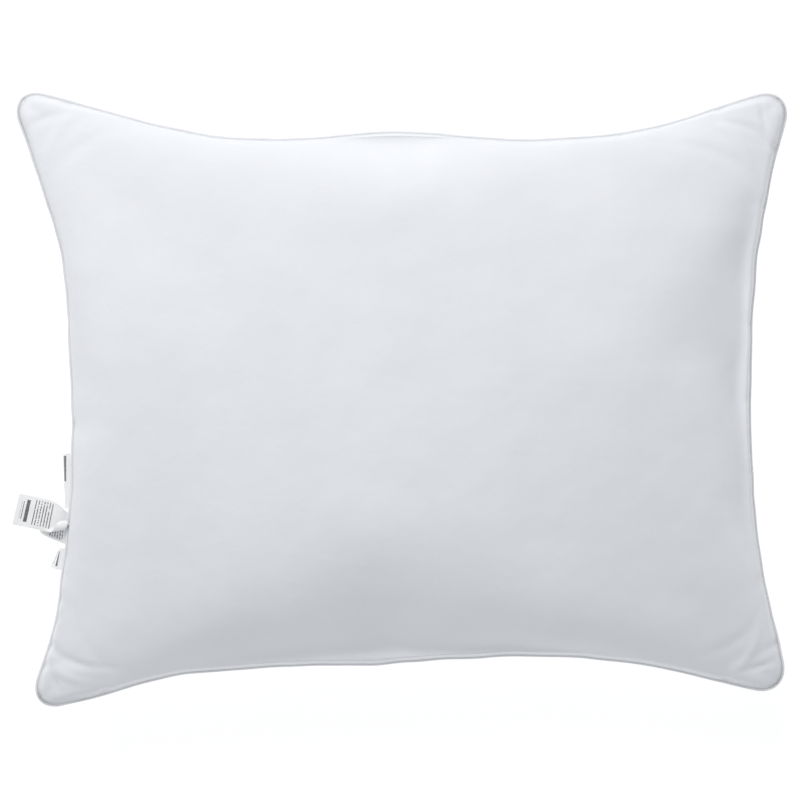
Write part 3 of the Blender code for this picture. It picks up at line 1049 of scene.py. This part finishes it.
def curl(x, y, line, radius):
    """Roll what lies past a line on the flat label round a tube. line: x, y, turn in degrees."""
    turn = math.radians(line[2])
    away = Vector((math.cos(turn), math.sin(turn)))
    past = (x - line[0]) * away.x + (y - line[1]) * away.y
    if past <= 0.0:
        return x, y, 0.0
    shift = radius * math.sin(past / radius) - past
    return x + shift * away.x, y + shift * away.y, radius * (1.0 - math.cos(past / radius))


def rib_at(ribs, share):
    """A smooth line through the ribs: each is centre (out, along, up) and half width (same)."""
    count = len(ribs) - 1
    place = min(max(share, 0.0), 1.0) * count
    i = min(int(place), count - 1)
    t = place - i
    a, b, c, d = (np.array(ribs[min(max(k, 0), count)], float) for k in (i - 1, i, i + 1, i + 2))
    return 0.5 * (2.0 * b + (c - a) * t + (2.0 * a - 5.0 * b + 4.0 * c - d) * t * t
                  + (3.0 * b - a - 3.0 * c + d) * t ** 3)


def make_page(name, node, ribs, curls, wave, cells, finish, thickness):
    """One label page: a cloth strip through its ribs, with curled corners and a light wave."""
    origin, along, outward, up = label_frame(node)
    runs = [rib_at(ribs, i / 60.0)[0] for i in range(61)]
    lengths = np.concatenate([[0.0], np.cumsum(np.linalg.norm(np.diff(runs, axis=0), axis=1))])
    width = 2.0 * float(np.linalg.norm(ribs[-1][1]))
    total = float(lengths[-1])

    def surface(x, y):
        share = float(np.interp(x, lengths, np.linspace(0.0, 1.0, 61)))
        centre, half = rib_at(ribs, share)
        extra = max(0.0, x - total)
        spot = centre + half * (2.0 * y / width)
        return spot + np.array([extra, 0.0, 0.0])

    bm = bmesh.new()
    bmesh.ops.create_grid(bm, x_segments=cells[0], y_segments=cells[1], size=1.0)
    layer = bm.loops.layers.uv.new("print")
    for face in bm.faces:
        for loop in face.loops:
            loop[layer].uv = ((loop.vert.co.x + 1.0) / 2.0, (loop.vert.co.y + 1.0) / 2.0)
    for vert in bm.verts:
        x, y, lift = (vert.co.x + 1.0) / 2.0 * total, vert.co.y * width / 2.0, 0.0
        share = x / total
        for line, radius in curls:
            x, y, more = curl(x, y, line, radius)
            lift += more
        step = 0.2
        spot = surface(x, y)
        du, dv = surface(x + step, y) - surface(x - step, y), surface(x, y + step) - surface(x, y - step)
        facing = np.cross(du, dv)
        facing /= max(np.linalg.norm(facing), 1e-9)
        if facing[2] < 0.0 and abs(facing[2]) > 0.3:
            facing = -facing
        loose = min(1.0, max(0.0, (share - 0.3) / 0.5))
        lift += wave * loose * noise.noise(Vector((x * 0.09, y * 0.11, len(name) * 1.7)))
        spot = (spot + facing * lift) * MM
        vert.co = origin + outward * spot[0] + along * spot[1] + up * spot[2]
    page = new_object(name, mesh_of(bm, name), finish)
    add_thickness(page, thickness)
    smooth = page.modifiers.new("Smooth", "SUBSURF")
    smooth.levels = smooth.render_levels = 1
    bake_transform(page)
    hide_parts(node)
    return page


class Print:
    """Printing on a label, from the flat label's own measures in millimetres."""

    def __init__(self, name, rgb, length_mm, width_mm, roughness):
        self.tree = Tree(name)
        uv = self.tree.add("ShaderNodeUVMap", uv_map="print").outputs["UV"]
        split = self.tree.add("ShaderNodeSeparateXYZ", {"Vector": uv})
        self.x = self.tree.math("MULTIPLY", split.outputs["X"], length_mm)
        self.y = self.tree.math("MULTIPLY", split.outputs["Y"], width_mm)
        self.rgb, self.roughness = rgb, roughness
        self.ink = None

    def between(self, value, low, high):
        above = self.tree.math("GREATER_THAN", value, low)
        below = self.tree.math("LESS_THAN", value, high)
        return self.tree.math("MULTIPLY", above, below)

    def put(self, mask):
        self.ink = mask if self.ink is None else self.tree.math("MAXIMUM", self.ink, mask)

    def block(self, x0, x1, y0, y1):
        """A solid bar."""
        self.put(self.tree.math("MULTIPLY", self.between(self.x, x0, x1), self.between(self.y, y0, y1)))

    def rows(self, x0, x1, y0, y1, pitch, weight, fill, seed):
        """Rows of dashes that run across the label and stand for small print."""
        tree = self.tree
        step = tree.math("DIVIDE", self.x, pitch)
        row = tree.math("FLOOR", step)
        in_row = tree.math("LESS_THAN", tree.math("FRACT", step), weight)
        spot = tree.add("ShaderNodeCombineXYZ", {
            "X": tree.math("MULTIPLY", self.y, 0.9), "Y": tree.math("MULTIPLY", row, 7.31),
            "Z": float(seed)}).outputs["Vector"]
        words = tree.math("GREATER_THAN", tree.noise(spot, 1.0, 0.0), 1.0 - fill)
        area = tree.math("MULTIPLY", self.between(self.x, x0, x1), self.between(self.y, y0, y1))
        self.put(tree.math("MULTIPLY", tree.math("MULTIPLY", in_row, words), area))

    def finish(self, ink_rgb, density, sheen):
        tree = self.tree
        place = tree.add("ShaderNodeTexCoord").outputs["Object"]
        tint = tree.ramp(tree.noise(place, 60.0, 2.0), 0.35, 0.65, 0.0, 1.0)
        cloth = tree.mix(tint, shade(self.rgb, 0.97), shade(self.rgb, 1.01))
        wear = tree.ramp(tree.noise(place, 900.0, 2.0), 0.30, 0.55, density * 0.75, density)
        share = tree.math("MULTIPLY", self.ink, wear)
        tree.feed(tree.shader.inputs["Base Color"], tree.mix(share, cloth, shade(ink_rgb)))
        tree.shader.inputs["Roughness"].default_value = self.roughness
        tree.shader.inputs["Sheen Weight"].default_value = sheen
        ribs = tree.math("SINE", tree.math("MULTIPLY", self.x, 2.0 * math.pi / 0.32))
        warp = tree.math("SINE", tree.math("MULTIPLY", self.y, 2.0 * math.pi / 0.24))
        threads = tree.math("ADD", ribs, warp)
        grain = tree.ramp(threads, -2.0, 2.0, 0.0, 1.0)
        tree.feed(tree.shader.inputs["Normal"], tree.bump(grain, 0.00004, 0.6))
        return tree.material


# A label's sewn-in end, from inside the seam to under the piping (outward, along, up)
TAIL = ((-8.0, 0.0, -0.62), (-4.0, 0.0, -0.66), (-2.7, 0.0, -1.16), (-1.9, 0.0, -1.38))


def ribs_from(half_width, flap):
    """The sewn-in tail, then the flap's own ribs (centre and half width, in millimetres)."""
    tail = [(centre, (0.0, half_width, 0.0)) for centre in TAIL]
    return tail + flap


class PILLOW_OT_law_label(bpy.types.Operator):
    """Hang the wide label with its ruled frame from the seam"""
    bl_idname = "pillow.law_label"
    bl_label = "Law label"

    def execute(self, context):
        settings = context.scene.pillow_labels
        half = 22.0
        flap = [
            ((0.6, 0.0, -1.2), (0.0, half, 0.0)),
            ((3.2, 0.0, -1.9), (0.9, half, 0.6)),
            ((4.9, 0.0, -5.0), (1.6, half, 0.8)),
            ((5.0, 0.0, -12.0), (1.6, half, 0.2)),
            ((4.9, 0.2, -20.0), (1.1, half, 0.0)),
            ((5.6, 0.4, -29.0), (0.4, half, -0.3)),
            ((7.0, 0.4, -38.0), (-0.2, half, -0.5)),
            ((9.0, 0.2, -46.0), (-0.8, half, -0.6)),
        ]
        art = Print("law label cloth", settings.satin, 62.0, 44.0, 0.75)
        # A dark bar over half the label's width, at the bend where the label turns down outside the
        # piping.
        art.block(12.0, 14.6, 22.0, 43.0)
        art.block(15.6, 16.2, 1.6, 42.4)
        art.block(58.0, 58.8, 1.6, 42.4)
        art.block(15.6, 58.8, 1.6, 2.3)
        art.block(15.6, 58.8, 41.7, 42.4)
        art.block(18.5, 20.6, 8.0, 36.0)
        art.rows(24.0, 36.0, 5.0, 39.0, 2.4, 0.42, 0.62, 3)
        art.block(38.5, 39.1, 4.0, 40.0)
        art.rows(42.0, 55.0, 5.0, 39.0, 1.9, 0.40, 0.58, 5)
        make_page("law_label_sheet", "law_label", ribs_from(half, flap), [], 0.8, (64, 40),
                  art.finish(settings.ink, 0.85, 0.05), settings.thickness)
        return {"FINISHED"}


class PILLOW_OT_care_label(bpy.types.Operator):
    """Sew in the care label: a printed satin page with a second page under it"""
    bl_idname = "pillow.care_label"
    bl_label = "Care label"

    def execute(self, context):
        settings = context.scene.pillow_labels
        half = 13.2
        upper = [
            ((0.8, 0.3, -1.0), (0.0, half, 0.2)),
            ((4.6, 3.6, 0.9), (-0.4, half, 0.8)),
            ((9.0, 6.4, 2.0), (-0.9, half - 0.2, 0.9)),
            ((15.0, 8.8, 1.9), (-1.4, half - 0.3, 0.4)),
            ((24.0, 9.8, 1.2), (-1.5, half - 0.3, -0.4)),
            ((33.0, 10.9, 1.0), (-1.5, half - 0.3, -0.9)),
            ((42.3, 11.8, 2.0), (-1.5, half - 0.4, -1.3)),
        ]
        under = [
            ((0.7, 0.1, -1.5), (0.0, half, 0.1)),
            ((4.4, 0.6, -1.2), (-0.3, half - 0.6, 0.1)),
            ((9.5, 1.4, -2.0), (-0.9, half - 1.5, -0.3)),
            ((14.0, 2.6, -3.6), (-1.6, half - 1.9, -0.8)),
            ((18.0, 3.9, -6.4), (-2.0, half - 2.2, -1.2)),
            ((20.5, 5.0, -10.5), (-2.2, half - 2.3, -1.4)),
        ]
        art = Print("care label satin", settings.satin, 52.0, 2.0 * half, 0.42)
        art.block(41.8, 44.6, 4.0, 22.6)
        art.rows(46.4, 48.2, 6.0, 21.0, 1.6, 0.34, 0.7, 2)
        art.rows(22.0, 38.0, 3.0, 24.0, 2.3, 0.34, 0.66, 4)
        make_page("care_label_page", "care_label", ribs_from(half, upper),
                  [((21.0, -6.5, -128.0), 3.2)], 0.7, (56, 30),
                  art.finish(settings.ink, 0.92, 0.15), settings.thickness)
        art = Print("care label back page", settings.satin, 44.0, 2.0 * half, 0.42)
        art.rows(14.0, 30.0, 2.0, 24.0, 2.7, 0.50, 0.60, 9)
        make_page("care_label_under_page", "care_label", ribs_from(half, under), [], 0.5, (48, 28),
                  art.finish(settings.ink, 0.80, 0.15), settings.thickness)
        return {"FINISHED"}


class PILLOW_OT_size_label(bpy.types.Operator):
    """Sew in the small tab with its single bar"""
    bl_idname = "pillow.size_label"
    bl_label = "Size label"

    def execute(self, context):
        settings = context.scene.pillow_labels
        half = 9.0
        flap = [
            ((0.8, 0.0, -1.2), (0.0, half, 0.0)),
            ((3.4, -0.2, -1.6), (-0.6, half, 0.5)),
            ((5.6, -0.4, -4.4), (-2.0, half - 0.3, 0.9)),
            ((7.3, -0.6, -8.6), (-2.8, half - 0.5, 1.0)),
            ((8.7, -0.6, -13.0), (-3.0, half - 0.6, 1.0)),
        ]
        art = Print("size label satin", settings.satin, 26.0, 2.0 * half, 0.42)
        art.block(12.6, 14.6, 2.6, 15.4)
        art.rows(16.5, 23.0, 3.0, 15.0, 2.2, 0.36, 0.62, 6)
        make_page("size_label_tab", "size_label", ribs_from(half, flap), [], 0.4, (32, 22),
                  art.finish(settings.ink, 0.95, 0.15), settings.thickness)
        return {"FINISHED"}


# ---------------------------------------------------------------- stage

class PILLOW_OT_stage(bpy.types.Operator):
    """Set the floor, the soft lights and the camera over the pillow"""
    bl_idname = "pillow.stage"
    bl_label = "Stage"

    KEY_PLACE, KEY_SIZE = (-0.68, 1.89, 1.88), 1.3
    SKY_COLOUR = (0.97, 0.985, 1.0, 1.0)
    FLOOR_DROP, FLOOR_GLOW = 0.0002, 0.80
    SENSOR_WIDTH, CAMERA_REACH = 36.0, 200.0

    def execute(self, context):
        settings = context.scene.pillow_stage
        self.make_floor(settings)
        self.make_light("key light", self.KEY_PLACE, self.KEY_SIZE, settings.key)
        world = bpy.data.worlds.new("soft sky")
        world.use_nodes = True
        sky = world.node_tree.nodes["Background"]
        sky.inputs["Color"].default_value = self.SKY_COLOUR
        sky.inputs["Strength"].default_value = settings.sky
        context.scene.world = world
        context.scene.view_settings.view_transform = "Standard"
        self.make_camera(settings)
        return {"FINISHED"}

    def make_floor(self, settings):
        bm = bmesh.new()
        bmesh.ops.create_grid(bm, x_segments=8, y_segments=8, size=settings.floor / 2.0)
        tree = Tree("pale floor")
        place = tree.add("ShaderNodeTexCoord").outputs["Object"]
        tone = tree.ramp(tree.noise(place, 3.0), 0.3, 0.7, 0.0, 1.0)
        tree.feed(tree.shader.inputs["Base Color"],
                  tree.mix(tone, (0.30, 0.30, 0.30, 1.0), (0.31, 0.31, 0.31, 1.0)))
        tree.shader.inputs["Roughness"].default_value = 0.9
        tree.shader.inputs["Emission Color"].default_value = (1.0, 1.0, 1.0, 1.0)
        tree.shader.inputs["Emission Strength"].default_value = self.FLOOR_GLOW
        floor = new_object("floor", mesh_of(bm, "floor", smooth=False), tree.material)
        floor.location.z = -self.FLOOR_DROP

    def make_light(self, name, place, size, power):
        light = bpy.data.lights.new(name, "AREA")
        light.shape = "SQUARE"
        light.size, light.energy = size, power
        light.color = (1.0, 0.99, 0.98)
        lamp = bpy.data.objects.new(name, light)
        bpy.context.scene.collection.objects.link(lamp)
        lamp.location = place
        aim = Vector((0.0, 0.0, SEAM_HEIGHT)) - Vector(place)
        lamp.rotation_euler = aim.to_track_quat("-Z", "Y").to_euler()

    def make_camera(self, settings):
        data = bpy.data.cameras.new("camera")
        data.lens, data.sensor_width = settings.lens, self.SENSOR_WIDTH
        camera = bpy.data.objects.new("camera", data)
        bpy.context.scene.collection.objects.link(camera)
        away = settings.view_width / 2.0 / (data.sensor_width / 2.0 / data.lens)
        camera.location = (*CAMERA_OFFSET, SEAM_HEIGHT + away)
        data.clip_end = self.CAMERA_REACH
        bpy.context.scene.camera = camera


# ---------------------------------------------------------------- panel and registration

OPERATORS = (
    PILLOW_OT_cover, PILLOW_OT_filling, PILLOW_OT_piping, PILLOW_OT_seam_stitches,
    PILLOW_OT_closing_stitches, PILLOW_OT_law_label, PILLOW_OT_care_label,
    PILLOW_OT_size_label, PILLOW_OT_stage,
)
GROUPS = {
    "pillow_cover": PillowCover, "pillow_filling": PillowFilling, "pillow_piping": PillowPiping,
    "pillow_stitches": PillowStitches, "pillow_labels": PillowLabels, "pillow_stage": PillowStage,
}


class PILLOW_PT_build(bpy.types.Panel):
    """Sidebar panel that lists the pillow's pieces and their sizes"""
    bl_idname = "PILLOW_PT_build"
    bl_label = "Bed Pillow"
    bl_space_type = "VIEW_3D"
    bl_region_type = "UI"
    bl_category = "Pillow"

    def draw(self, context):
        for operator in OPERATORS:
            self.layout.operator(operator.bl_idname)
        for name, group in GROUPS.items():
            box = self.layout.box()
            for field in group.__annotations__:
                box.prop(getattr(context.scene, name), field)


def register():
    for item in (*GROUPS.values(), *OPERATORS, PILLOW_PT_build):
        bpy.utils.register_class(item)
    for name, group in GROUPS.items():
        setattr(bpy.types.Scene, name, bpy.props.PointerProperty(type=group))


def unregister():
    for name in GROUPS:
        delattr(bpy.types.Scene, name)
    for item in reversed((*GROUPS.values(), *OPERATORS, PILLOW_PT_build)):
        bpy.utils.unregister_class(item)


def main():
    register()
    for operator in OPERATORS:
        group, name = operator.bl_idname.split(".")
        getattr(getattr(bpy.ops, group), name)()


if __name__ == "__main__":
    main()
